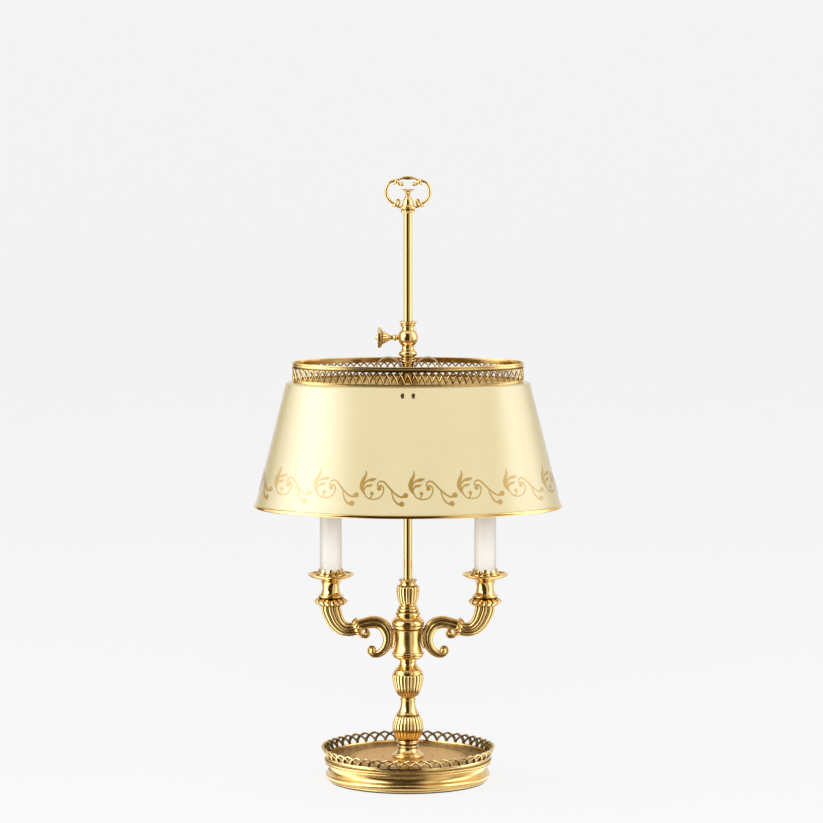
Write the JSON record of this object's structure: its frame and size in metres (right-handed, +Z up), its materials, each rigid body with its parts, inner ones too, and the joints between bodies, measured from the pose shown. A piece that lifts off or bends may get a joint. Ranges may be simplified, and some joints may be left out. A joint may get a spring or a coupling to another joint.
{
  "type": "bouillotte lamp",
  "caption": "Table lamp with candle arms on a turned column, a pierced dished base and an oval metal shade that slides and turns on a brass mast.",
  "frame": {"origin": "on the surface the lamp stands on, under the axis of the mast", "axes": "+Z up along the mast, +X towards the right-hand candle, -Y towards the viewer; the cord inlet is at the back, on +Y"},
  "size_m": [0.35, 0.1994, 0.6892],
  "materials": {
    "polished_brass": "polished",
    "satin_brass": "satin",
    "cream_enamel": "satin enamel with a gold scroll border",
    "candle_ivory": "satin",
    "opal_glass": "opal",
    "white_moulding": "matte",
    "nylon": "matte",
    "plain_steel": "zinc plated",
    "cast_iron": "rough",
    "green_felt": "felt",
    "black_insulation": "matte"
  },
  "bodies": {
    "stand": {"felt_pad": "green_felt", "base_plinth": "satin_brass", "base_tray": "satin_brass", "base_gallery": "polished_brass", "ballast_disc": "cast_iron", "tie_rod": "plain_steel", "tie_nut": "plain_steel", "tie_washer": "plain_steel", "terminal_block": "white_moulding", "cord_gland": "black_insulation", "foot_collar": "polished_brass", "lower_vase": "polished_brass", "vase_neck": "polished_brass", "upper_vase": "polished_brass", "vase_cap": "polished_brass", "hub_foot": "polished_brass", "hub_body": "satin_brass", "hub_top": "polished_brass", "stepped_rings": "polished_brass", "fluted_bud": "polished_brass", "bud_collar": "polished_brass", "mast": "polished_brass", "finial_collar": "polished_brass", "finial_baluster": "polished_brass", "ring_handle": "polished_brass", "arm_left": "satin_brass", "arm_right": "satin_brass", "arm_nipples": "plain_steel", "arm_nuts": "plain_steel", "candle_cup_left": "polished_brass", "candle_cup_right": "polished_brass", "drip_pan_left": "polished_brass", "drip_pan_right": "polished_brass", "petal_cup_left": "polished_brass", "petal_cup_right": "polished_brass", "candle_sleeve_left": "candle_ivory", "candle_sleeve_right": "candle_ivory", "lampholder_left": "white_moulding", "lampholder_right": "white_moulding", "bulb_cap_left": "polished_brass", "bulb_cap_right": "polished_brass", "bulb_glass_left": "opal_glass", "bulb_glass_right": "opal_glass", "lead_left": "black_insulation", "lead_right": "black_insulation"},
    "guide_bush": {"guide_bush": "nylon"},
    "shade": {"slider_collar": "polished_brass", "slider_base": "polished_brass", "carrier_bar": "polished_brass", "carrier_straps": "polished_brass", "carrier_nut": "polished_brass", "shade_shell": "cream_enamel", "shade_shoulder": "cream_enamel", "shade_low_rim": "polished_brass", "shade_gallery": "polished_brass", "shade_top_rim": "polished_brass", "shade_screws": "polished_brass"},
    "clamp_pad": {"clamp_pad": "nylon"},
    "thumb_screw": {"thumb_screw": "polished_brass"}
  },
  "joints": [
    {"name": "shade_slide", "type": "slide", "parent": "stand", "child": "guide_bush", "axis": [0, 0, 1], "range_m": [-0.04, 0.12]},
    {"name": "shade_swivel", "type": "hinge", "parent": "guide_bush", "child": "shade", "pos_m": [0, 0, 0.48], "axis": [0, 0, 1], "range_deg": [-20, 20]},
    {"name": "screw_travel", "type": "slide", "parent": "shade", "child": "clamp_pad", "axis": [-1, 0, 0], "range_m": [0, 0.002]},
    {"name": "thumb_turn", "type": "hinge", "parent": "clamp_pad", "child": "thumb_screw", "pos_m": [-0.02, 0, 0.5063], "axis": [-1, 0, 0], "range_deg": [0, 720]}
  ],
  "couplings": [
    {"joint": "thumb_turn", "follows": "screw_travel", "rad_per_m": 6283.2}
  ]
}
